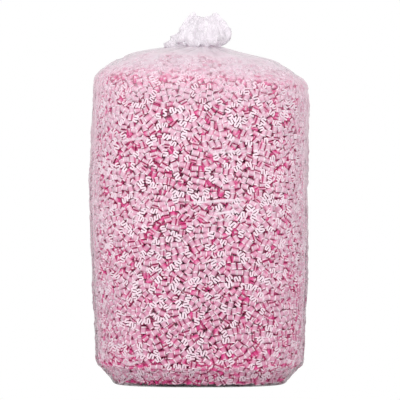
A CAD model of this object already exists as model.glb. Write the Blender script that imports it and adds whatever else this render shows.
"""A tall clear film bag of pink packing peanuts, gathered and tied at the top, on a pale studio floor."""

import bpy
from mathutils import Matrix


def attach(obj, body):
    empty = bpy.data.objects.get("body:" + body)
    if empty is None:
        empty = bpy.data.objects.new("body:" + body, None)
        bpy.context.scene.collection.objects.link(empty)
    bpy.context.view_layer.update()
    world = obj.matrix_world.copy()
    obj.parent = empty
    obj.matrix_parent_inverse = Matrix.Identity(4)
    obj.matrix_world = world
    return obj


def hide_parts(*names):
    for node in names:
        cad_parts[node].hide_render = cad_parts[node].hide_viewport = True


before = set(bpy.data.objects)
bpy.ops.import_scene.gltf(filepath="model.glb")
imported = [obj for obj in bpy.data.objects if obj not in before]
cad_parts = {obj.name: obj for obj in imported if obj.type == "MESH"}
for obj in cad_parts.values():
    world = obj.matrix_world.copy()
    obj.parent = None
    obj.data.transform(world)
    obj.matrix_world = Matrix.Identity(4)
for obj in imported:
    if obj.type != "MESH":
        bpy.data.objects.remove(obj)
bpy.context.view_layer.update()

import math

import bmesh
import bpy
import numpy as np
from mathutils import Vector
from mathutils.bvhtree import BVHTree

scene = bpy.context.scene
scene.view_settings.view_transform = "Standard"
scene.cycles.transparent_max_bounces = 24
scene.cycles.max_bounces = 10
scene.cycles.diffuse_bounces = 6


# Camera: far off with a long lens, about level with the middle of the bag, so that the bag's sides hardly
# converge.
VIEW_DISTANCE = 12.0
VIEW_ELEVATION = math.radians(0.8)
VIEW_TARGET = Vector((0.0025, 0.0, 0.6077))
VIEW_HEIGHT = 1.3318  # what the square frame spans at the bag's middle

camera_data = bpy.data.cameras.new("camera")
camera_data.sensor_width = 36
camera_data.lens = 36 * VIEW_DISTANCE / VIEW_HEIGHT
camera = bpy.data.objects.new("camera", camera_data)
towards_bag = Vector((0, math.cos(VIEW_ELEVATION), -math.sin(VIEW_ELEVATION)))
camera.location = VIEW_TARGET - towards_bag * VIEW_DISTANCE
camera.rotation_euler = towards_bag.to_track_quat("-Z", "Y").to_euler()
scene.collection.objects.link(camera)
scene.camera = camera


# Studio: a pale floor, even light all round and a large soft light in front. Where the camera sees past the
# bag it sees plain white.
STUDIO_LIGHT = 1.2
LAMP_SIZE = 2.2
LAMP_POWER = 49.0
LAMP_PLACE = Vector((-0.3, -3.3, 2.2))
LAMP_AIM = Vector((0.0, 0.0, 0.6))
FLOOR_SIZE = 6.0
FLOOR_DEPTH = 0.001
FADE_FROM, FADE_TO = 0.12, 0.25  # how far from the bag's middle the floor fades into the backdrop


def add_node(tree, kind, inputs=(), **settings):
    """A new node with its settings, and with each named input set to a value or linked from a socket."""
    made = tree.nodes.new(kind)
    for name, value in settings.items():
        setattr(made, name, value)
    for name, value in dict(inputs).items():
        if isinstance(value, bpy.types.NodeSocket):
            tree.links.new(value, made.inputs[name])
        else:
            made.inputs[name].default_value = value
    return made


def seen_directly(tree):
    """1 for a ray from the camera, or off something glossy or through something clear."""
    path = add_node(tree, "ShaderNodeLightPath").outputs
    either = add_node(
        tree, "ShaderNodeMath", {0: path["Is Camera Ray"], 1: path["Is Glossy Ray"]}, operation="MAXIMUM"
    )
    return add_node(
        tree, "ShaderNodeMath", {0: either.outputs[0], 1: path["Is Transmission Ray"]}, operation="MAXIMUM"
    ).outputs[0]


def make_world():
    """Even light all round, and plain white where the camera sees past the floor."""
    world = bpy.data.worlds.new("studio")
    world.use_nodes = True
    tree = world.node_tree
    tree.nodes.clear()
    light = add_node(
        tree, "ShaderNodeBackground", {"Color": (1.0, 0.985, 0.99, 1.0), "Strength": STUDIO_LIGHT}
    )
    backdrop = add_node(tree, "ShaderNodeBackground", {"Color": (1.0, 1.0, 1.0, 1.0), "Strength": 1.0})
    mix = add_node(
        tree, "ShaderNodeMixShader", {0: seen_directly(tree), 1: light.outputs[0], 2: backdrop.outputs[0]}
    )
    add_node(tree, "ShaderNodeOutputWorld", {"Surface": mix.outputs[0]})
    return world


scene.world = make_world()

front = bpy.data.lights.new("front", "AREA")
front.size = LAMP_SIZE
front.energy = LAMP_POWER
holder = bpy.data.objects.new("front", front)
holder.location = LAMP_PLACE
holder.rotation_euler = (LAMP_AIM - LAMP_PLACE).to_track_quat("-Z", "Y").to_euler()
scene.collection.objects.link(holder)


def make_floor_material():
    """Matt white, which takes the bag's shadow and fades into the backdrop further out."""
    material = bpy.data.materials.new("floor")
    material.use_nodes = True
    tree = material.node_tree
    tree.nodes.clear()
    matt = add_node(tree, "ShaderNodeBsdfDiffuse", {"Color": (0.90, 0.90, 0.90, 1.0)})
    backdrop = add_node(tree, "ShaderNodeEmission", {"Color": (1.0, 1.0, 1.0, 1.0), "Strength": 1.0})
    place = add_node(tree, "ShaderNodeTexCoord").outputs["Object"]
    out = add_node(tree, "ShaderNodeVectorMath", {0: place}, operation="LENGTH").outputs["Value"]
    fade = add_node(tree, "ShaderNodeMapRange", {"Value": out, "From Min": FADE_FROM, "From Max": FADE_TO})
    amount = add_node(
        tree, "ShaderNodeMath", {0: fade.outputs[0], 1: seen_directly(tree)}, operation="MULTIPLY"
    )
    mix = add_node(
        tree, "ShaderNodeMixShader", {0: amount.outputs[0], 1: matt.outputs[0], 2: backdrop.outputs[0]}
    )
    add_node(tree, "ShaderNodeOutputMaterial", {"Surface": mix.outputs[0]})
    return material


def make_floor():
    shape = bmesh.new()
    bmesh.ops.create_grid(shape, x_segments=1, y_segments=1, size=FLOOR_SIZE)
    mesh = bpy.data.meshes.new("floor")
    shape.to_mesh(mesh)
    shape.free()
    mesh.materials.append(make_floor_material())
    floor = bpy.data.objects.new("floor", mesh)
    floor.location = (0, 0, -FLOOR_DEPTH)
    scene.collection.objects.link(floor)


make_floor()


# Film bag: one tube of clear polythene film, heat-sealed across its base, filled, and gathered by hand at the
# top, where a twist tie pulls it in. It is slack, so it creases over the peanuts, runs in pleats from the
# shoulders to the neck, and opens into a crumpled ruffle above the tie.
BAG_HEIGHT = 1.222
HALF_WIDTH = 0.3615
HALF_DEPTH = 0.320
SQUARENESS = 2.6
SLACK = 0.003
SHOULDER_LEAN = 0.011
NECK_SHIFT = 0.018
BODY_SHIFT = 0.001
PLEATS = 12
FINE_PLEATS = 19
FINEST_PLEATS = 46
RUFFLE_LOBES = 5
RUFFLE_SWELL = 0.16
RIM_WAVE = 0.007
FOLD_REACH = 0.060
FOLD_WIDTH = 0.55
FOLD_STATION = 19.0
FOLD_STATIONS = 1.1
SKIRT_REACH = 0.0039
SKIRT_TUCK = 0.013  # on the right, where the ruffle is drawn in
SKIRT_STATION = 19.2
SKIRT_STATIONS = 0.8
SAG = 0.013
SAG_FORWARD = 0.007
CRUMPLE = 0.006
FILM_COLUMNS = 312
FILM_ROWS = 216
BASE_ROWS = 5
# Up the film: the height as a share of the bag's, the girth as a share of the widest, and the pleats' depth.
STATIONS = np.array(
    (
        (0.000, 0.000, 0.000),
        (0.000, 0.380, 0.000),
        (0.000, 0.785, 0.000),
        (0.008, 0.808, 0.000),
        (0.040, 0.893, 0.000),
        (0.060, 0.950, 0.000),
        (0.215, 0.972, 0.000),
        (0.445, 1.000, 0.000),
        (0.700, 0.994, 0.000),
        (0.800, 0.982, 0.001),
        (0.829, 0.953, 0.003),
        (0.851, 0.862, 0.005),
        (0.871, 0.745, 0.007),
        (0.890, 0.602, 0.009),
        (0.905, 0.350, 0.010),
        (0.914, 0.180, 0.008),
        (0.918, 0.060, 0.003),
        (0.925, 0.060, 0.003),
        (0.928, 0.120, 0.006),
        (0.932, 0.200, 0.010),
        (0.950, 0.235, 0.013),
        (0.977, 0.175, 0.012),
        (1.000, 0.098, 0.010),
    )
)
BASE, WIDEST, SHOULDER, WAIST, RIM = 2, 7, 10, 16, 22
# Creases that the front shows: X and Z of the middle of each, its half length, its tilt and its strength.
CREASES = (
    (-0.220, 0.808, 0.058, 0.02, 1.0),
    (0.092, 0.768, 0.076, -0.02, 0.8),
    (0.049, 0.608, 0.119, 0.01, 0.9),
    (0.082, 0.571, 0.046, 0.00, 1.0),
    (0.080, 0.548, 0.041, -0.05, 0.7),
    (-0.209, 0.106, 0.036, 0.04, 0.9),
    (-0.216, 0.079, 0.031, 0.02, 0.9),
    (-0.246, 0.016, 0.032, 0.50, 1.0),
)


def smooth_step(low, high, value):
    """0 below low, 1 above high, and a smooth climb between them."""
    t = np.clip((value - low) / (high - low), 0.0, 1.0)
    return t * t * (3 - 2 * t)


def along_stations(station):
    """The rows of STATIONS at fractional stations, on a smooth curve that doesn't overshoot."""
    row = np.clip(station.astype(int), 0, RIM - 1)
    t = (station - row)[:, None]
    steps = np.diff(STATIONS, axis=0, prepend=STATIONS[:1], append=STATIONS[-1:])
    most = 3 * np.minimum(np.abs(steps[:-1]), np.abs(steps[1:]))
    slopes = np.clip((steps[:-1] + steps[1:]) / 2, -most, most)
    return np.maximum(
        (2 * t**3 - 3 * t**2 + 1) * STATIONS[row]
        + (t**3 - 2 * t**2 + t) * slopes[row]
        + (3 * t**2 - 2 * t**3) * STATIONS[row + 1]
        + (t**3 - t**2) * slopes[row + 1],
        0.0,
    )


def film_surface(station, angle, girth_scale=1.0):
    """Points of the film at these stations and angles round the bag, with no pleats or creases."""
    height, girth, _ = along_stations(station).T
    height = height * BAG_HEIGHT
    power = SQUARENESS + (2 - SQUARENESS) * smooth_step(WIDEST, WAIST, station)
    across, deep = np.abs(np.cos(angle)), np.abs(np.sin(angle))
    radius = girth * girth_scale
    radius = radius / ((across / HALF_WIDTH) ** power + (deep / HALF_DEPTH) ** power) ** (1 / power)
    in_ruffle = smooth_step(WAIST + 1, WAIST + 3, station)
    radius = radius * (1 + RUFFLE_SWELL * in_ruffle * np.sin(RUFFLE_LOBES * angle + 0.6))
    fold = ((angle % math.tau - math.pi) / FOLD_WIDTH) ** 2
    fold = fold + ((station - FOLD_STATION) / FOLD_STATIONS) ** 2
    radius = radius + FOLD_REACH * in_ruffle * np.exp(-fold)
    skirt = SKIRT_REACH - SKIRT_TUCK * np.clip(np.cos(angle), 0, 1)
    skirt = skirt * np.exp(-(((station - SKIRT_STATION) / SKIRT_STATIONS) ** 2))
    radius = radius + in_ruffle * skirt
    loose = smooth_step(BASE, BASE + 2, station) * (1 - smooth_step(SHOULDER, SHOULDER + 3, station))
    wander = np.sin(3 * angle + 8 * height) + 0.6 * np.sin(5 * angle - 13 * height + 1)
    radius = radius + SLACK * loose * wander
    lean = smooth_step(WIDEST, SHOULDER, station) * (1 - smooth_step(SHOULDER + 3, WAIST, station))
    height = height - SHOULDER_LEAN * lean * np.cos(angle)
    height = height + RIM_WAVE * smooth_step(WAIST + 2, RIM, station) * np.cos(2 * angle)
    shift = BODY_SHIFT + (NECK_SHIFT - BODY_SHIFT) * smooth_step(SHOULDER, WAIST, station)
    return np.stack((shift + radius * np.cos(angle), radius * np.sin(angle), height), axis=1)


def film_normals(station, angle):
    """The film's outward directions at these stations and angles."""
    step = 0.02
    along = film_surface(station + step, angle) - film_surface(np.maximum(station - step, 0), angle)
    around = film_surface(station, angle + step) - film_surface(station, angle - step)
    normal = np.cross(around, along)
    return normal / np.maximum(np.linalg.norm(normal, axis=1, keepdims=True), 1e-9)


def evenly_up(count, low, high):
    """Stations from low to high that are the same distance apart up the side of the bag."""
    fine = np.linspace(low, high, 4000)
    points = film_surface(fine, np.zeros_like(fine))
    lengths = np.concatenate(([0], np.cumsum(np.linalg.norm(np.diff(points, axis=0), axis=1))))
    return np.interp(np.linspace(0, lengths[-1], count), lengths, fine)


def soft_noise(points, size, seed, stretch=(1, 1, 1)):
    """Smooth noise from -1 to 1 with features of that size, which stretch makes longer along an axis."""
    chance = np.random.default_rng(seed)
    waves = chance.normal(size=(14, 3)) / size / np.array(stretch) * 2.2
    phases = chance.uniform(0, math.tau, 14)
    return np.sin(points @ waves.T + phases).sum(axis=1) / 14**0.5


def ring_quads(index):
    """Faces from each ring of points to the next one up. index has the points' numbers, ring by ring."""
    beside = np.roll(index, -1, axis=1)
    return np.stack((index[:-1], beside[:-1], beside[1:], index[1:]), axis=-1).reshape(-1, 4).tolist()


def mark_points(mesh, name, values):
    """Keeps a number for each point of the mesh, for its material to read."""
    mesh.attributes.new(name, "FLOAT", "POINT").data.foreach_set("value", values)


def make_film_mesh():
    """The film with its pleats, its drape over the peanuts, and the ruffle's crumple and sag."""
    stations = np.concatenate((np.linspace(0.15, BASE, BASE_ROWS)[:-1], evenly_up(FILM_ROWS, BASE, RIM)))
    rows, columns = len(stations), FILM_COLUMNS
    station = np.repeat(stations, columns)
    angle = np.tile(math.pi / 2 + math.tau * np.arange(columns) / columns, rows)
    points = film_surface(station, angle)
    normals = film_normals(station, angle)
    pleat_depth = along_stations(station)[:, 2]

    on_body = smooth_step(BASE, BASE + 2, station)
    on_body *= 1 - smooth_step(SHOULDER + 1, SHOULDER + 4, station)
    on_dome = smooth_step(SHOULDER - 1.2, SHOULDER + 2, station)
    on_dome *= 1 - smooth_step(WAIST - 1, WAIST, station)
    in_ruffle = smooth_step(WAIST + 1, WAIST + 3, station)

    # Pleats: broad ones where the hand gathered the film, with finer ones between them that wander a little.
    wander = 0.35 * soft_noise(points, 0.12, 3)
    broad = np.cos(PLEATS * angle + 0.5 * wander)
    fine = 1 - 2 * np.abs(np.sin(FINE_PLEATS / 2 * angle + 1.3 + wander))
    finest = 1 - 2 * np.abs(np.sin(FINEST_PLEATS / 2 * angle + 0.4 + 1.7 * wander))
    pleats = pleat_depth * (0.55 * broad + 0.28 * fine + 0.17 * finest)
    pleats *= 1 - 0.7 * on_dome - 0.45 * in_ruffle

    # Drape: where the peanuts push the film out between its slack stretches.
    lumps = 0.0016 * soft_noise(points, 0.045, 5) + 0.0012 * soft_noise(points, 0.02, 6)
    level = 1 - np.abs(soft_noise(points, 0.05, 7, (3.2, 3.2, 0.55)))
    upright = 1 - np.abs(soft_noise(points, 0.07, 8, (0.45, 0.45, 3.5)))
    drape = lumps + 0.0022 * np.clip(level, 0, 1) ** 3 + 0.002 * np.clip(upright, 0, 1) ** 3

    # Crumple: the ruffle's creases, which grow finer and shallower towards its rim.
    soft = soft_noise(points, 0.045, 9)
    sharp = 1 - 2 * np.abs(soft_noise(points, 0.018, 10))
    crumple = CRUMPLE * (soft + sharp) * in_ruffle * (1 - 0.55 * smooth_step(WAIST + 3.2, RIM, station))
    points = points + normals * (pleats + drape * on_body + crumple)[:, None]

    # The ruffle sags over the tie, most of all at the front and the left.
    sag = in_ruffle * (1 - smooth_step(WAIST + 3.2, RIM - 0.6, station))
    forward = np.maximum(np.clip(-np.sin(angle), 0, 1), np.clip(-np.cos(angle), 0, 1))
    points[:, 2] -= sag * (SAG + SAG_FORWARD * forward)
    points[:, 2] = np.maximum(points[:, 2], 0.0)

    index = np.arange(rows * columns).reshape(rows, columns)
    faces = ring_quads(index) + [index[0][::-1].tolist()]
    mesh = bpy.data.meshes.new("film_bag_sheet")
    mesh.from_pydata(points.tolist(), [], faces)
    mesh.shade_smooth()
    white = 0.12 * on_body * (np.clip(level, 0, 1) ** 12 + np.clip(upright, 0, 1) ** 12)
    white += 0.12 * on_dome * np.clip(0.5 + 0.5 * finest, 0, 1) ** 3
    mark_points(mesh, "crease", np.clip(white, 0, 1))
    loose = 0.25 * on_dome + 0.75 * smooth_step(SHOULDER + 0.8, WAIST - 1.2, station) + in_ruffle
    mark_points(mesh, "loose", np.clip(loose, 0, 1))
    return mesh


def make_crease_line():
    """White along one crease of the film's front: 1 on the crease, thinning out towards its ends."""
    group = bpy.data.node_groups.new("film_crease", "ShaderNodeTree")
    for name in ("X", "Z", "Half Length", "Tilt", "Strength"):
        group.interface.new_socket(name, in_out="INPUT", socket_type="NodeSocketFloat")
    group.interface.new_socket("White", in_out="OUTPUT", socket_type="NodeSocketFloat")
    given = group.nodes.new("NodeGroupInput").outputs

    def maths(operation, *inputs, **settings):
        node = add_node(group, "ShaderNodeMath", enumerate(inputs), operation=operation, **settings)
        return node.outputs[0]

    place = add_node(group, "ShaderNodeTexCoord").outputs["Object"]
    x, y, z = add_node(group, "ShaderNodeSeparateXYZ", {0: place}).outputs
    along = maths("DIVIDE", maths("SUBTRACT", x, given["X"]), given["Half Length"])
    level = maths("MULTIPLY_ADD", maths("MULTIPLY", along, given["Half Length"]), given["Tilt"], given["Z"])
    bend = maths("MULTIPLY_ADD", maths("SINE", maths("MULTIPLY", along, 2.5)), 0.0035, level)
    noise = add_node(group, "ShaderNodeTexNoise", {"Vector": place, "Scale": 45.0, "Detail": 2.0})
    uneven = noise.outputs[0]
    wavy = maths("MULTIPLY_ADD", maths("SUBTRACT", uneven, 0.5), 0.006, bend)
    away = maths("ABSOLUTE", maths("SUBTRACT", z, wavy))
    line = add_node(
        group,
        "ShaderNodeMapRange",
        {"Value": away, "From Min": 0.0022, "From Max": 0.0058, "To Min": 1.0, "To Max": 0.0},
        interpolation_type="SMOOTHSTEP",
    )
    reach = maths("SUBTRACT", 1.0, maths("POWER", maths("ABSOLUTE", along), 2.0), use_clamp=True)
    broken = add_node(
        group, "ShaderNodeMapRange", {"Value": uneven, "From Min": 0.36, "From Max": 0.52, "To Min": 0.6}
    )
    strength = maths("MULTIPLY", maths("MULTIPLY", reach, broken.outputs[0]), given["Strength"])
    at_front = maths("MULTIPLY", strength, maths("LESS_THAN", y, 0.0))
    result = group.nodes.new("NodeGroupOutput")
    group.links.new(maths("MULTIPLY", line.outputs[0], at_front), result.inputs["White"])
    return group


def make_film_haze():
    """How cloudy the film is: more along creases, where it is loose, and in patches."""
    group = bpy.data.node_groups.new("film_haze", "ShaderNodeTree")
    for name in ("Clear", "Loose", "Crease"):
        group.interface.new_socket(name, in_out="INPUT", socket_type="NodeSocketFloat")
    for name in ("Haze", "White"):
        group.interface.new_socket(name, in_out="OUTPUT", socket_type="NodeSocketFloat")
    given = group.nodes.new("NodeGroupInput").outputs
    place = add_node(group, "ShaderNodeTexCoord").outputs["Object"]
    patches = add_node(group, "ShaderNodeTexNoise", {"Vector": place, "Scale": 14.0, "Detail": 3.0})
    patchy = add_node(
        group,
        "ShaderNodeMapRange",
        {"Value": patches.outputs[0], "From Min": 0.35, "From Max": 0.7, "To Min": 0.75, "To Max": 1.25},
    )
    loose = add_node(group, "ShaderNodeAttribute", attribute_name="loose").outputs["Fac"]
    crease = add_node(group, "ShaderNodeAttribute", attribute_name="crease").outputs["Fac"]
    crease_line = make_crease_line()
    for values in CREASES:
        one = add_node(
            group,
            "ShaderNodeGroup",
            zip(("X", "Z", "Half Length", "Tilt", "Strength"), values),
            node_tree=crease_line,
        )
        crease = add_node(
            group, "ShaderNodeMath", {0: crease, 1: one.outputs[0]}, operation="MAXIMUM"
        ).outputs[0]
    height = add_node(group, "ShaderNodeSeparateXYZ", {0: place}).outputs["Z"]
    tight = add_node(
        group,
        "ShaderNodeMapRange",
        {"Value": height, "From Min": 0.88, "From Max": 1.05, "To Min": given["Clear"], "To Max": 0.28},
        interpolation_type="SMOOTHSTEP",
    )
    crinkles = add_node(
        group, "ShaderNodeTexNoise", {"Vector": place, "Scale": 85.0, "Detail": 2.0, "Distortion": 0.8}
    )
    glints = add_node(
        group, "ShaderNodeMapRange", {"Value": crinkles.outputs[0], "From Min": 0.53, "From Max": 0.64}
    )
    crinkled = add_node(
        group,
        "ShaderNodeMapRange",
        {"Value": height, "From Min": 0.92, "From Max": 1.05, "To Min": 0.0, "To Max": 0.45},
        interpolation_type="SMOOTHSTEP",
    )
    base = add_node(
        group,
        "ShaderNodeMapRange",
        {"Value": loose, "To Min": tight.outputs[0], "To Max": given["Loose"]},
    )
    crease = add_node(
        group,
        "ShaderNodeMath",
        {0: glints.outputs[0], 1: crinkled.outputs[0], 2: crease},
        operation="MULTIPLY_ADD",
        use_clamp=True,
    ).outputs[0]
    cloudy = add_node(
        group, "ShaderNodeMath", {0: base.outputs[0], 1: patchy.outputs[0]}, operation="MULTIPLY"
    )
    total = add_node(
        group,
        "ShaderNodeMath",
        {0: crease, 1: given["Crease"], 2: cloudy.outputs[0]},
        operation="MULTIPLY_ADD",
        use_clamp=True,
    )
    result = group.nodes.new("NodeGroupOutput")
    group.links.new(total.outputs[0], result.inputs["Haze"])
    group.links.new(crease, result.inputs["White"])
    return group


def make_film_material():
    """Clear glossy film, cloudier where it is loose, creased or seen edge on."""
    material = bpy.data.materials.new("clear_film")
    material.use_nodes = True
    tree = material.node_tree
    tree.nodes.clear()
    haze_group = add_node(tree, "ShaderNodeGroup", node_tree=make_film_haze())
    haze_group.inputs["Clear"].default_value = 0.006
    haze_group.inputs["Loose"].default_value = 0.75
    haze_group.inputs["Crease"].default_value = 1.0
    place = add_node(tree, "ShaderNodeTexCoord").outputs["Object"]
    crinkle = add_node(tree, "ShaderNodeTexNoise", {"Vector": place, "Scale": 90.0, "Detail": 4.0})
    bump = add_node(
        tree, "ShaderNodeBump", {"Height": crinkle.outputs[0], "Strength": 0.2, "Distance": 0.002}
    )
    edge = add_node(tree, "ShaderNodeLayerWeight", {"Blend": 0.5})
    edge_haze = add_node(
        tree,
        "ShaderNodeMapRange",
        {"Value": edge.outputs["Facing"], "From Min": 0.45, "From Max": 0.98, "To Max": 0.95},
        interpolation_type="SMOOTHSTEP",
    )
    height = add_node(tree, "ShaderNodeSeparateXYZ", {0: place}).outputs["Z"]
    slackness = add_node(
        tree, "ShaderNodeMapRange", {"Value": height, "From Min": 0.1, "From Max": 1.0}
    )
    over_heap = add_node(
        tree,
        "ShaderNodeMapRange",
        {"Value": height, "From Min": 1.0, "From Max": 1.06, "To Min": 1.0, "To Max": 0.8},
    )
    turned_away = add_node(
        tree, "ShaderNodeMath", {0: edge_haze.outputs[0], 1: over_heap.outputs[0]}, operation="MULTIPLY"
    )
    haze = add_node(
        tree,
        "ShaderNodeMath",
        {0: turned_away.outputs[0], 1: slackness.outputs[0], 2: haze_group.outputs["Haze"]},
        operation="MULTIPLY_ADD",
        use_clamp=True,
    )
    # Seen edge on, the film is looked through at length, and is darker and pinker.
    edge_on = add_node(
        tree, "ShaderNodeMapRange", {"Value": edge.outputs["Facing"], "From Min": 0.86, "From Max": 1.0}
    )
    loose = add_node(tree, "ShaderNodeAttribute", attribute_name="loose").outputs["Fac"]
    tight = add_node(tree, "ShaderNodeMath", {0: 1.0, 1: loose}, operation="SUBTRACT")
    through_more = add_node(
        tree, "ShaderNodeMath", {0: edge_on.outputs[0], 1: tight.outputs[0]}, operation="MULTIPLY"
    )
    thick = add_node(tree, "ShaderNodeMix", {"Factor": through_more.outputs[0]}, data_type="RGBA")
    thick.inputs["A"].default_value = (0.99, 0.985, 0.99, 1.0)
    thick.inputs["B"].default_value = (0.78, 0.62, 0.70, 1.0)
    clear = add_node(tree, "ShaderNodeBsdfTransparent", {"Color": thick.outputs["Result"]})
    pale = add_node(tree, "ShaderNodeMath", {0: loose, 1: haze_group.outputs["White"]}, operation="MAXIMUM")
    paler = add_node(tree, "ShaderNodeMapRange", {"Value": pale.outputs[0], "From Max": 0.25})
    tint = add_node(tree, "ShaderNodeMix", {"Factor": paler.outputs[0]}, data_type="RGBA")
    tint.inputs["A"].default_value = (0.96, 0.73, 0.83, 1.0)
    tint.inputs["B"].default_value = (0.90, 0.865, 0.905, 1.0)
    cloud = add_node(
        tree,
        "ShaderNodeBsdfPrincipled",
        {
            "Base Color": tint.outputs["Result"],
            "Roughness": 0.35,
            "Normal": bump.outputs[0],
        },
    )
    lit_from_inside = add_node(tree, "ShaderNodeBsdfTranslucent", {"Color": tint.outputs["Result"]})
    let_through = add_node(
        tree,
        "ShaderNodeMapRange",
        {"Value": loose, "From Min": 0.6, "From Max": 1.0, "To Min": 0.55, "To Max": 0.42},
    )
    milky = add_node(
        tree,
        "ShaderNodeMixShader",
        {0: let_through.outputs[0], 1: cloud.outputs[0], 2: lit_from_inside.outputs[0]},
    )
    # Light that a cloudy film scatters goes on inwards for the most part, so the film hardly shades what lies
    # behind it.
    shadow_ray = add_node(tree, "ShaderNodeLightPath").outputs["Is Shadow Ray"]
    blocked = add_node(tree, "ShaderNodeMapRange", {"Value": shadow_ray, "To Min": 1.0, "To Max": 0.22})
    stopped = add_node(
        tree, "ShaderNodeMath", {0: haze.outputs[0], 1: blocked.outputs[0]}, operation="MULTIPLY"
    )
    hazy = add_node(
        tree, "ShaderNodeMixShader", {0: stopped.outputs[0], 1: clear.outputs[0], 2: milky.outputs[0]}
    )
    gloss = add_node(tree, "ShaderNodeBsdfGlossy", {"Roughness": 0.12, "Normal": bump.outputs[0]})
    shine = add_node(tree, "ShaderNodeFresnel", {"IOR": 1.08, "Normal": bump.outputs[0]})
    film = add_node(
        tree, "ShaderNodeMixShader", {0: shine.outputs[0], 1: hazy.outputs[0], 2: gloss.outputs[0]}
    )
    add_node(tree, "ShaderNodeOutputMaterial", {"Surface": film.outputs[0]})
    return material


film = bpy.data.objects.new("film_bag_sheet", make_film_mesh())
film.data.materials.append(make_film_material())
scene.collection.objects.link(film)
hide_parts("film_bag")
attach(film, "root")


# Packing peanuts: strips of expanded polystyrene, curled into an S as they leave the die and cut to length.
# They were poured in loose, so the outer ones lie against the film at all angles, and the ones behind show in
# the gaps.
CURL_WIDE = 0.0095
CURL_HIGH = 0.0051
STROKE = 0.0053
PEANUT_LENGTH = 0.0255
CURL_SWEEP = math.radians(228)
CURL_ROUNDNESS = 0.65
EDGE_ROUNDING = 0.0009
FILM_GAP = 0.008  # from the film to the outermost peanuts
OUTER_SPACING = 0.0158
OUTER_DEPTH = 0.012
INNER_SPACING = 0.0175
INNER_DEPTH = 0.028
CLEARANCE = 0.016  # round the middle of each peanut that the frame has
FLAT_SIDES = (0.60, 0.12, 0.28)  # how many of the outer ones have each of their axes towards the film
TILT = 0.30
SMALLEST, LARGEST = 0.78, 0.96  # peanuts expand unevenly, to these shares of the full size
BALL = 0.0076  # while they settle, each peanut is eight balls of this radius
BALLS = np.array(
    [(x, y, z) for x in (-0.0059, 0.0059) for y in (-0.0048, 0.0048) for z in (-0.0061, 0.0061)]
)
NEIGHBOURS_WITHIN = 0.034
OUTER_PUSH = 0.0010
INNER_PUSH = 0.0005
SETTLING_STEPS = 50
STIFFNESS = 4.0  # how much a peanut keeps its turn while its neighbours push it
HEAP_TOP = 13.4  # as a station of the film
TOP_FROM = 0.93
UNDERNEATH_TO = 0.02
SEED = 21


def peanut_outline(steps):
    """The outline of the S, down one side of its stroke and back up the other."""
    middles = []
    for step in range(-steps, steps + 1):
        turn = abs(step) / steps * CURL_SWEEP
        sine = math.copysign(abs(math.sin(turn)) ** CURL_ROUNDNESS, math.sin(turn))
        cosine = math.copysign(abs(math.cos(turn)) ** CURL_ROUNDNESS, math.cos(turn))
        middles.append(Vector((-CURL_WIDE * sine, CURL_HIGH * (1 - cosine))) * math.copysign(1, step))
    near, far = [], []
    for number, middle in enumerate(middles):
        along = middles[min(number + 1, 2 * steps)] - middles[max(number - 1, 0)]
        across = Vector((-along.y, along.x)).normalized() * STROKE / 2
        near.append(middle + across)
        far.append(middle - across)
    return near + far[::-1]


def make_peanut(steps, rounded):
    """One peanut: its points, its faces and which of them are smooth. Its length is along Z."""
    outline = [Vector((point.y, point.x)) for point in peanut_outline(steps)][::-1]
    shape = bmesh.new()
    levels = [(PEANUT_LENGTH / 2, 0.0)]
    if rounded:
        levels = [(PEANUT_LENGTH / 2 - EDGE_ROUNDING, 0.0), (PEANUT_LENGTH / 2, EDGE_ROUNDING)]
    rings = []
    for height, inset in [(-h, i) for h, i in levels[::-1]] + levels:
        ring = []
        count = len(outline)
        for k, point in enumerate(outline):
            edge = outline[(k + 1) % count] - outline[k - 1]
            inward = Vector((-edge.y, edge.x)).normalized()
            ring.append(shape.verts.new((*(point + inward * inset), height)))
        rings.append(ring)
    for low, high in zip(rings, rings[1:]):
        for k in range(len(low)):
            face = shape.faces.new((low[k - 1], low[k], high[k], high[k - 1]))
            face.smooth = True
    for ring in (rings[0][::-1], rings[-1]):
        shape.faces.new(ring)
    bmesh.ops.recalc_face_normals(shape, faces=shape.faces)
    shape.normal_update()
    shape.verts.index_update()
    points = np.array([vertex.co for vertex in shape.verts])
    faces = [[vertex.index for vertex in face.verts] for face in shape.faces]
    smooth = [face.smooth for face in shape.faces]
    shape.free()
    return points, faces, smooth


def heap_boundary():
    """The closed form that the peanuts fill: the film's, with a rounded top under the pleats."""
    stations = np.concatenate((np.linspace(0.4, BASE, 4)[:-1], evenly_up(60, BASE, HEAP_TOP)))
    columns = 72
    station = np.repeat(stations, columns)
    angle = np.tile(math.tau * np.arange(columns) / columns, len(stations))
    points = film_surface(station, angle)
    points -= film_normals(station, angle) * FILM_GAP
    points[:, 2] = np.maximum(points[:, 2], 0.003)
    top = points[-columns:].mean(axis=0) + np.array((0, 0, 0.004))
    index = np.arange(len(points)).reshape(-1, columns)
    faces = ring_quads(index)
    faces += [[index[-1, k - 1], index[-1, k], len(points)] for k in range(columns)]
    faces.append(index[0][::-1].tolist())
    return np.vstack((points, top)), faces


def random_turns(count, chance):
    """Turns of any kind, all equally likely, as matrices."""
    turns = chance.normal(size=(count, 4))
    w, x, y, z = (turns / np.linalg.norm(turns, axis=1, keepdims=True)).T
    return np.stack(
        (
            1 - 2 * (y * y + z * z), 2 * (x * y - z * w), 2 * (x * z + y * w),
            2 * (x * y + z * w), 1 - 2 * (x * x + z * z), 2 * (y * z - x * w),
            2 * (x * z - y * w), 2 * (y * z + x * w), 1 - 2 * (x * x + y * y),
        ),
        axis=1,
    ).reshape(-1, 3, 3)


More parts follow.
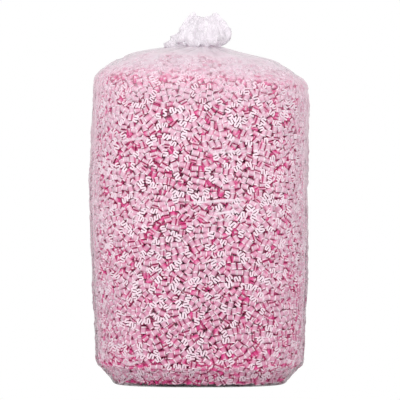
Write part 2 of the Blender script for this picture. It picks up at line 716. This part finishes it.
def scatter_on(points, faces, spacing, chance):
    """Points spread over the boundary, with its outward direction at each."""
    corners = np.array([points[face[:3]] for face in faces[:-1]])
    fourth = np.array([points[face[-1]] for face in faces[:-1]])
    area_one = np.cross(corners[:, 1] - corners[:, 0], corners[:, 2] - corners[:, 0])
    area_two = np.cross(corners[:, 2] - corners[:, 0], fourth - corners[:, 0])
    normal = area_one + area_two
    area = np.linalg.norm(normal, axis=1)
    # Many more candidates than needed, for thin_out to choose from.
    count = int(area.sum() / 2 / spacing**2 * 7)
    pick = chance.choice(len(area), size=count, p=area / area.sum())
    u, v = chance.uniform(size=(2, count, 1))
    start = corners[pick, 0] * (1 - u) + corners[pick, 1] * u
    end = fourth[pick] * (1 - u) + corners[pick, 2] * u
    places = start * (1 - v) + end * v
    outward = normal[pick] / area[pick][:, None]
    return places, outward


def thin_out(places, outward, spacing):
    """Drops candidates that lie closer than spacing to one that is kept."""
    kept, cells = [], {}
    steps = [(a, b, c) for a in (-1, 0, 1) for b in (-1, 0, 1) for c in (-1, 0, 1)]
    for number, place in enumerate(places):
        key = tuple((place // spacing).astype(int))
        near = (cells.get((key[0] + a, key[1] + b, key[2] + c), ()) for a, b, c in steps)
        if all(((places[other] - place) ** 2).sum() > spacing**2 for group in near for other in group):
            cells.setdefault(key, []).append(number)
            kept.append(number)
    return places[kept], outward[kept]


def near_pairs(centres, reach):
    """Pairs of peanuts whose centres are closer than reach."""
    cells = np.floor(centres / reach).astype(np.int64)
    cells -= cells.min(axis=0) - 1
    width = cells.max(axis=0) + 2
    keys = (cells[:, 0] * width[1] + cells[:, 1]) * width[2] + cells[:, 2]
    order = np.argsort(keys, kind="stable")
    ordered = keys[order]
    pairs = []
    for a in (-1, 0, 1):
        for b in (-1, 0, 1):
            for c in (-1, 0, 1):
                wanted = keys + (a * width[1] + b) * width[2] + c
                first = np.searchsorted(ordered, wanted, "left")
                last = np.searchsorted(ordered, wanted, "right")
                for step in range(int((last - first).max())):
                    here = np.nonzero(first + step < last)[0]
                    there = order[first[here] + step]
                    forward = here < there
                    pairs.append(np.stack((here[forward], there[forward]), axis=1))
    pairs = np.concatenate(pairs)
    apart = np.linalg.norm(centres[pairs[:, 0]] - centres[pairs[:, 1]], axis=1)
    return pairs[apart < reach]


def settle(centres, turns, sizes, pinned, tree, push):
    """Moves and turns the peanuts until they lie against the boundary and each other with little overlap."""
    count, balls = len(centres), len(BALLS)
    radii = BALL * sizes
    offsets = BALLS * sizes[:, None, None]
    keeping = STIFFNESS * np.einsum("nbi,nbj->nij", offsets, offsets)
    for step in range(SETTLING_STEPS):
        if step % 4 == 0:
            pairs = near_pairs(centres, NEIGHBOURS_WITHIN)
            sides = [tree.find_nearest(Vector(centre)) for centre in centres]
            plane_points = np.array([side[0] for side in sides])
            plane_normals = np.array([side[1] for side in sides])
        places = centres[:, None] + np.einsum("nij,nbj->nbi", turns, offsets)
        first, second = pairs.T
        between = places[first][:, :, None] - places[second][:, None]
        apart = np.sqrt((between**2).sum(axis=-1)) + 1e-9
        overlap = np.clip((radii[first] + radii[second])[:, None, None] - apart, 0, None)
        move = between / apart[..., None] * overlap[..., None] * 0.5
        moved = np.zeros((count * balls, 3))
        touching = np.ones(count * balls)
        hit = (overlap > 0).astype(float)
        pushed = (first, move.sum(axis=2), hit.sum(axis=2))
        pushed_back = (second, -move.sum(axis=1), hit.sum(axis=1))
        for who, shift, hits in (pushed, pushed_back):
            index = (who[:, None] * balls + np.arange(balls)).ravel()
            for axis in range(3):
                moved[:, axis] += np.bincount(index, shift[..., axis].ravel(), count * balls)
            touching += np.bincount(index, hits.ravel(), count * balls)
        moved = moved / np.maximum(touching - 0.4, 1)[:, None] * 1.3
        goal = places + moved.reshape(count, balls, 3)
        goal += plane_normals[:, None] * push[:, None, None] * (1 - step / SETTLING_STEPS)
        outside = ((goal - plane_points[:, None]) * plane_normals[:, None]).sum(axis=2) + radii[:, None]
        goal -= plane_normals[:, None] * np.clip(outside, 0, None)[..., None]
        middle = goal.mean(axis=1)
        spread = np.einsum("nbi,nbj->nij", goal - middle[:, None], offsets) + turns @ keeping
        left, _, right = np.linalg.svd(spread)
        flip = np.sign(np.linalg.det(left @ right))
        left[:, :, 2] *= flip[:, None]
        fitted = left @ right
        free = ~pinned
        centres[free] = middle[free]
        turns[free] = fitted[free]
    return centres, turns, plane_points, plane_normals


def copies_mesh(name, peanut, centres, turns, sizes, shades, plane_points, plane_normals):
    """One mesh with a copy of the peanut at each centre, and how deep behind the film each point lies."""
    points, faces, smooth = peanut
    count, size = len(centres), len(points)
    placed = centres[:, None] + np.einsum("nij,bj->nbi", turns * sizes[:, None, None], points)
    loops = np.concatenate([np.array(face) for face in faces])
    totals = np.array([len(face) for face in faces])
    starts = np.concatenate(([0], np.cumsum(totals)[:-1]))
    mesh = bpy.data.meshes.new(name)
    mesh.vertices.add(count * size)
    mesh.vertices.foreach_set("co", placed.ravel())
    mesh.loops.add(count * len(loops))
    corners = loops[None] + size * np.arange(count)[:, None]
    mesh.loops.foreach_set("vertex_index", corners.ravel())
    mesh.polygons.add(count * len(faces))
    loop_starts = starts[None] + len(loops) * np.arange(count)[:, None]
    mesh.polygons.foreach_set("loop_start", loop_starts.ravel())
    mesh.polygons.foreach_set("use_smooth", np.tile(smooth, count))
    mesh.update(calc_edges=True)
    behind = ((plane_points[:, None] - placed) * plane_normals[:, None]).sum(axis=2)
    below = behind - behind.min(axis=1, keepdims=True)
    mark_points(mesh, "shade", np.repeat(shades, size))
    mark_points(mesh, "behind", behind.ravel())
    mark_points(mesh, "below", below.ravel())
    mark_points(mesh, "along", np.tile(points[:, 2] / (PEANUT_LENGTH / 2), count))
    return mesh


def make_foam_material():
    """Expanded polystyrene: pale pink, dull, with fine closed cells and a slightly uneven skin."""
    material = bpy.data.materials.new("pink_foam")
    material.use_nodes = True
    tree = material.node_tree
    shader = tree.nodes["Principled BSDF"]
    place = add_node(tree, "ShaderNodeTexCoord").outputs["Object"]
    shade = add_node(tree, "ShaderNodeAttribute", attribute_name="shade").outputs["Fac"]
    cells = add_node(tree, "ShaderNodeTexVoronoi", {"Vector": place, "Scale": 700.0})
    uneven = add_node(tree, "ShaderNodeTexNoise", {"Vector": place, "Scale": 160.0, "Detail": 2.0})
    tone = add_node(
        tree, "ShaderNodeMath", {0: uneven.outputs[0], 1: 0.25, 2: shade}, operation="MULTIPLY_ADD"
    )
    colour = add_node(tree, "ShaderNodeMix", {"Factor": tone.outputs[0]}, data_type="RGBA")
    colour.inputs["A"].default_value = (0.65, 0.27, 0.42, 1.0)
    colour.inputs["B"].default_value = (0.80, 0.555, 0.665, 1.0)
    along = add_node(tree, "ShaderNodeAttribute", attribute_name="along").outputs["Fac"]
    from_middle = add_node(tree, "ShaderNodeMath", {0: along}, operation="ABSOLUTE").outputs[0]
    near_end = add_node(
        tree, "ShaderNodeMapRange", {"Value": from_middle, "From Min": 0.6, "From Max": 0.82}
    )
    cut_face = add_node(
        tree, "ShaderNodeMapRange", {"Value": from_middle, "From Min": 0.95, "From Max": 1.0, "To Max": 0.32}
    )
    cut = add_node(
        tree, "ShaderNodeMath", {0: near_end.outputs[0], 1: cut_face.outputs[0]}, operation="SUBTRACT"
    )
    turned = add_node(tree, "ShaderNodeLayerWeight", {"Blend": 0.5}).outputs["Facing"]
    rim = add_node(
        tree, "ShaderNodeMapRange", {"Value": turned, "From Min": 0.2, "From Max": 0.6, "To Max": 0.15}
    )
    pale = add_node(tree, "ShaderNodeMath", {0: cut.outputs[0], 1: rim.outputs[0]}, operation="MAXIMUM")
    cells_open = add_node(tree, "ShaderNodeMix", {"Factor": pale.outputs[0]}, data_type="RGBA")
    tree.links.new(colour.outputs["Result"], cells_open.inputs["A"])
    cells_open.inputs["B"].default_value = (1.0, 0.93, 0.985, 1.0)
    behind = add_node(tree, "ShaderNodeAttribute", attribute_name="behind").outputs["Fac"]
    below = add_node(tree, "ShaderNodeAttribute", attribute_name="below").outputs["Fac"]
    far_in = add_node(
        tree, "ShaderNodeMapRange", {"Value": behind, "From Min": 0.014, "From Max": 0.034, "To Max": 0.8}
    )
    on_wall = add_node(
        tree, "ShaderNodeMapRange", {"Value": below, "From Min": 0.0020, "From Max": 0.0068, "To Max": 0.88}
    )
    deep = add_node(
        tree, "ShaderNodeMath", {0: far_in.outputs[0], 1: on_wall.outputs[0]}, operation="MAXIMUM"
    ).outputs[0]
    # Light that bounces about in the gaps turns a deeper pink each time.
    glow = add_node(tree, "ShaderNodeMix", {"Factor": deep}, data_type="RGBA")
    tree.links.new(cells_open.outputs["Result"], glow.inputs["A"])
    glow.inputs["B"].default_value = (0.66, 0.02, 0.215, 1.0)
    tree.links.new(glow.outputs["Result"], shader.inputs["Base Color"])
    cell_bump = add_node(
        tree, "ShaderNodeBump", {"Height": cells.outputs["Distance"], "Strength": 0.3, "Distance": 0.0006}
    )
    skin_bump = add_node(
        tree,
        "ShaderNodeBump",
        {
            "Height": uneven.outputs[0],
            "Strength": 0.4,
            "Distance": 0.001,
            "Normal": cell_bump.outputs[0],
        },
    )
    tree.links.new(skin_bump.outputs[0], shader.inputs["Normal"])
    shader.inputs["Roughness"].default_value = 0.6
    shader.inputs["Specular IOR Level"].default_value = 0.15
    # Only the outer peanuts have light behind them to let through.
    through = add_node(tree, "ShaderNodeBsdfTranslucent", {"Color": (1.0, 0.30, 0.52, 1.0)})
    share = add_node(tree, "ShaderNodeMapRange", {"Value": deep, "To Min": 0.22, "To Max": 0.04})
    foam_mix = add_node(
        tree, "ShaderNodeMixShader", {0: share.outputs[0], 1: shader.outputs[0], 2: through.outputs[0]}
    )
    tree.links.new(foam_mix.outputs[0], tree.nodes["Material Output"].inputs["Surface"])
    return material


def points_and_axes(node):
    """The points of a peanut of the frame, and its axes from their spread, the shortest one first."""
    points = np.array([vertex.co for vertex in node.data.vertices])
    _, axes = np.linalg.eigh(np.cov((points - points.mean(axis=0)).T))
    return points, axes


def carried_peanuts(nodes):
    """The middle and the turn of each peanut that the frame has as a node of its own."""
    centres, turns = [], []
    for node in nodes:
        points, axes = points_and_axes(node)
        axes = axes[:, (1, 0, 2)]
        axes[:, 1] *= np.sign(np.linalg.det(axes))
        centres.append((points.max(axis=0) + points.min(axis=0)) / 2)
        turns.append(axes)
    return np.array(centres), np.array(turns)


def lay_flat(turns, normals, chance):
    """Turns that have one axis of each peanut more or less along the film's outward direction."""
    count = len(turns)
    flat_axis = chance.choice(3, size=count, p=FLAT_SIDES)
    facing = np.stack([turns[k, :, axis] for k, axis in enumerate(flat_axis)])
    facing *= chance.choice((-1, 1), size=(count, 1), p=(0.7, 0.3))
    target = normals + chance.normal(scale=TILT, size=(count, 3))
    target /= np.linalg.norm(target, axis=1, keepdims=True)
    axis = np.cross(facing, target)
    sine = np.linalg.norm(axis, axis=1)
    cosine = (facing * target).sum(axis=1)
    axis /= np.maximum(sine, 1e-9)[:, None]
    cross = np.zeros((count, 3, 3))
    cross[:, 0, 1], cross[:, 0, 2], cross[:, 1, 2] = -axis[:, 2], axis[:, 1], -axis[:, 0]
    cross -= cross.transpose(0, 2, 1)
    rotate = np.eye(3) + sine[:, None, None] * cross + (1 - cosine)[:, None, None] * (cross @ cross)
    return rotate @ turns


def make_peanuts(carried):
    """The piles of single peanuts, by the side of the bag that they lie on."""
    chance = np.random.default_rng(SEED)
    fixed, fixed_turns = carried_peanuts(carried)
    points, faces = heap_boundary()
    tree = BVHTree.FromPolygons([Vector(point) for point in points], faces)
    outer, outward = thin_out(*scatter_on(points, faces, OUTER_SPACING, chance), OUTER_SPACING)
    inner, inward = thin_out(*scatter_on(points, faces, INNER_SPACING, chance), INNER_SPACING)
    centres = np.concatenate((outer - outward * OUTER_DEPTH, inner - inward * INNER_DEPTH))
    normals = np.concatenate((outward, inward))
    clear = np.linalg.norm(centres[:, None] - fixed[None], axis=2).min(axis=1) > CLEARANCE
    outer_count = int(clear[: len(outer)].sum())
    centres, normals = centres[clear], normals[clear]
    count = len(centres)
    turns = random_turns(count, chance)
    turns[:outer_count] = lay_flat(turns, normals, chance)[:outer_count]
    is_outer = np.arange(count + len(fixed)) < outer_count
    pinned = np.arange(count + len(fixed)) >= count
    centres = np.concatenate((centres, fixed))
    turns = np.concatenate((turns, fixed_turns))
    sizes = np.where(pinned, 1.0, chance.uniform(SMALLEST, LARGEST, len(centres)))
    push = np.where(is_outer, OUTER_PUSH, INNER_PUSH)
    centres, turns, plane_points, plane_normals = settle(centres, turns, sizes, pinned, tree, push)

    # Lower down they are pressed closer, and look a deeper pink.
    shades = chance.uniform(0.0, 0.5, len(centres)) + 0.7 * smooth_step(0.0, 1.0, centres[:, 2])
    placed = (centres, turns, sizes, shades, plane_points, plane_normals)
    rounded = make_peanut(4, True)
    simple = make_peanut(4, False)
    plain = make_peanut(2, False)
    shapes = {"peanuts_front": rounded, "peanuts_behind": plain, "peanuts_underneath": plain}

    angle = np.arctan2(centres[:, 1], centres[:, 0])
    quarter = ((angle + math.pi / 4) // (math.pi / 2)).astype(int) % 4
    near_top = centres[:, 2] > TOP_FROM
    underneath = centres[:, 2] < UNDERNEATH_TO
    at_side = is_outer & ~near_top & ~underneath
    groups = {
        "peanuts_right": at_side & (quarter == 0),
        "peanuts_back": at_side & (quarter == 1),
        "peanuts_left": at_side & (quarter == 2),
        "peanuts_front": at_side & (quarter == 3),
        "peanuts_top": is_outer & near_top,
        "peanuts_underneath": is_outer & underneath,
        "peanuts_behind": ~is_outer & ~pinned,
    }
    made = []
    for name, chosen in groups.items():
        mesh = copies_mesh(name, shapes.get(name, simple), *(values[chosen] for values in placed))
        mesh.materials.append(foam)
        thing = bpy.data.objects.new(name, mesh)
        scene.collection.objects.link(thing)
        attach(thing, "root")
        made.append(thing)
    return made


def dress_carried_peanut(node):
    """Gives a peanut of the frame the foam, and rounds the edges that its cutting left."""
    node.data.materials.clear()
    node.data.materials.append(foam)
    points, axes = points_and_axes(node)
    along = points @ axes[:, 2]
    along = (along - (along.max() + along.min()) / 2) / (PEANUT_LENGTH / 2)
    mark_points(node.data, "along", along)
    mark_points(node.data, "shade", np.full(len(points), 0.45))
    edges = node.modifiers.new("rounded_edges", "BEVEL")
    edges.width = EDGE_ROUNDING
    edges.segments = 2
    edges.angle_limit = math.radians(50)


foam = make_foam_material()
carried = [
    node
    for name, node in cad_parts.items()
    if name.startswith("peanut_") and name != "peanut_heap"
]
piles = make_peanuts(carried)
# The fourth pile, the front one, is named as what takes the place of the solids' one heap.
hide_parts("peanut_heap")
for node in carried:
    dress_carried_peanut(node)


# Heap core: the peanuts too deep to be seen one by one, which fill the middle of the bag. Only their colour
# comes through the gaps between the others, so they are one lumpy body of the same foam.
CORE_BASE = 5.3  # as a station of the film
CORE_DEPTH = 0.046
CORE_LUMPS = 0.005


def make_core():
    """The film's own form, drawn in by CORE_DEPTH and made lumpy, with a flat foot."""
    stations = evenly_up(30, CORE_BASE, HEAP_TOP)
    columns = 48
    station = np.repeat(stations, columns)
    angle = np.tile(math.tau * np.arange(columns) / columns, len(stations))
    normals = film_normals(station, angle)
    points = film_surface(station, angle) - normals * CORE_DEPTH
    points += CORE_LUMPS * soft_noise(points, 0.02, 12)[:, None] * normals
    foot = points[:columns] * (1, 1, 0) + (0, 0, CORE_DEPTH)
    points = np.vstack((foot, points))
    index = np.arange(len(points)).reshape(-1, columns)
    faces = ring_quads(index) + [index[0][::-1].tolist(), index[-1].tolist()]
    mesh = bpy.data.meshes.new("peanuts_core")
    mesh.from_pydata(points.tolist(), [], faces)
    mesh.materials.append(foam)
    mark_points(mesh, "behind", np.full(len(points), CORE_DEPTH))
    return mesh


core = bpy.data.objects.new("peanuts_core", make_core())
scene.collection.objects.link(core)
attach(core, "root")


# Twist tie: a wire in a paper-thin white plastic cover, wound once round the neck by hand, with its two ends
# twisted together at the back. The ruffle hides it from the front.
def make_tie_material():
    """White plastic with a fine, slightly scuffed skin."""
    material = bpy.data.materials.new("tie_cover")
    material.use_nodes = True
    tree = material.node_tree
    shader = tree.nodes["Principled BSDF"]
    place = add_node(tree, "ShaderNodeTexCoord").outputs["Object"]
    scuffs = add_node(tree, "ShaderNodeTexNoise", {"Vector": place, "Scale": 400.0, "Detail": 3.0})
    ramp = add_node(tree, "ShaderNodeMix", {"Factor": scuffs.outputs[0]}, data_type="RGBA")
    ramp.inputs["A"].default_value = (0.86, 0.86, 0.86, 1.0)
    ramp.inputs["B"].default_value = (0.93, 0.93, 0.92, 1.0)
    tree.links.new(ramp.outputs["Result"], shader.inputs["Base Color"])
    bump = add_node(
        tree, "ShaderNodeBump", {"Height": scuffs.outputs[0], "Strength": 0.3, "Distance": 0.0003}
    )
    tree.links.new(bump.outputs[0], shader.inputs["Normal"])
    shader.inputs["Roughness"].default_value = 0.4
    return material


twist_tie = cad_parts["twist_tie"]
twist_tie.data.materials.clear()
twist_tie.data.materials.append(make_tie_material())
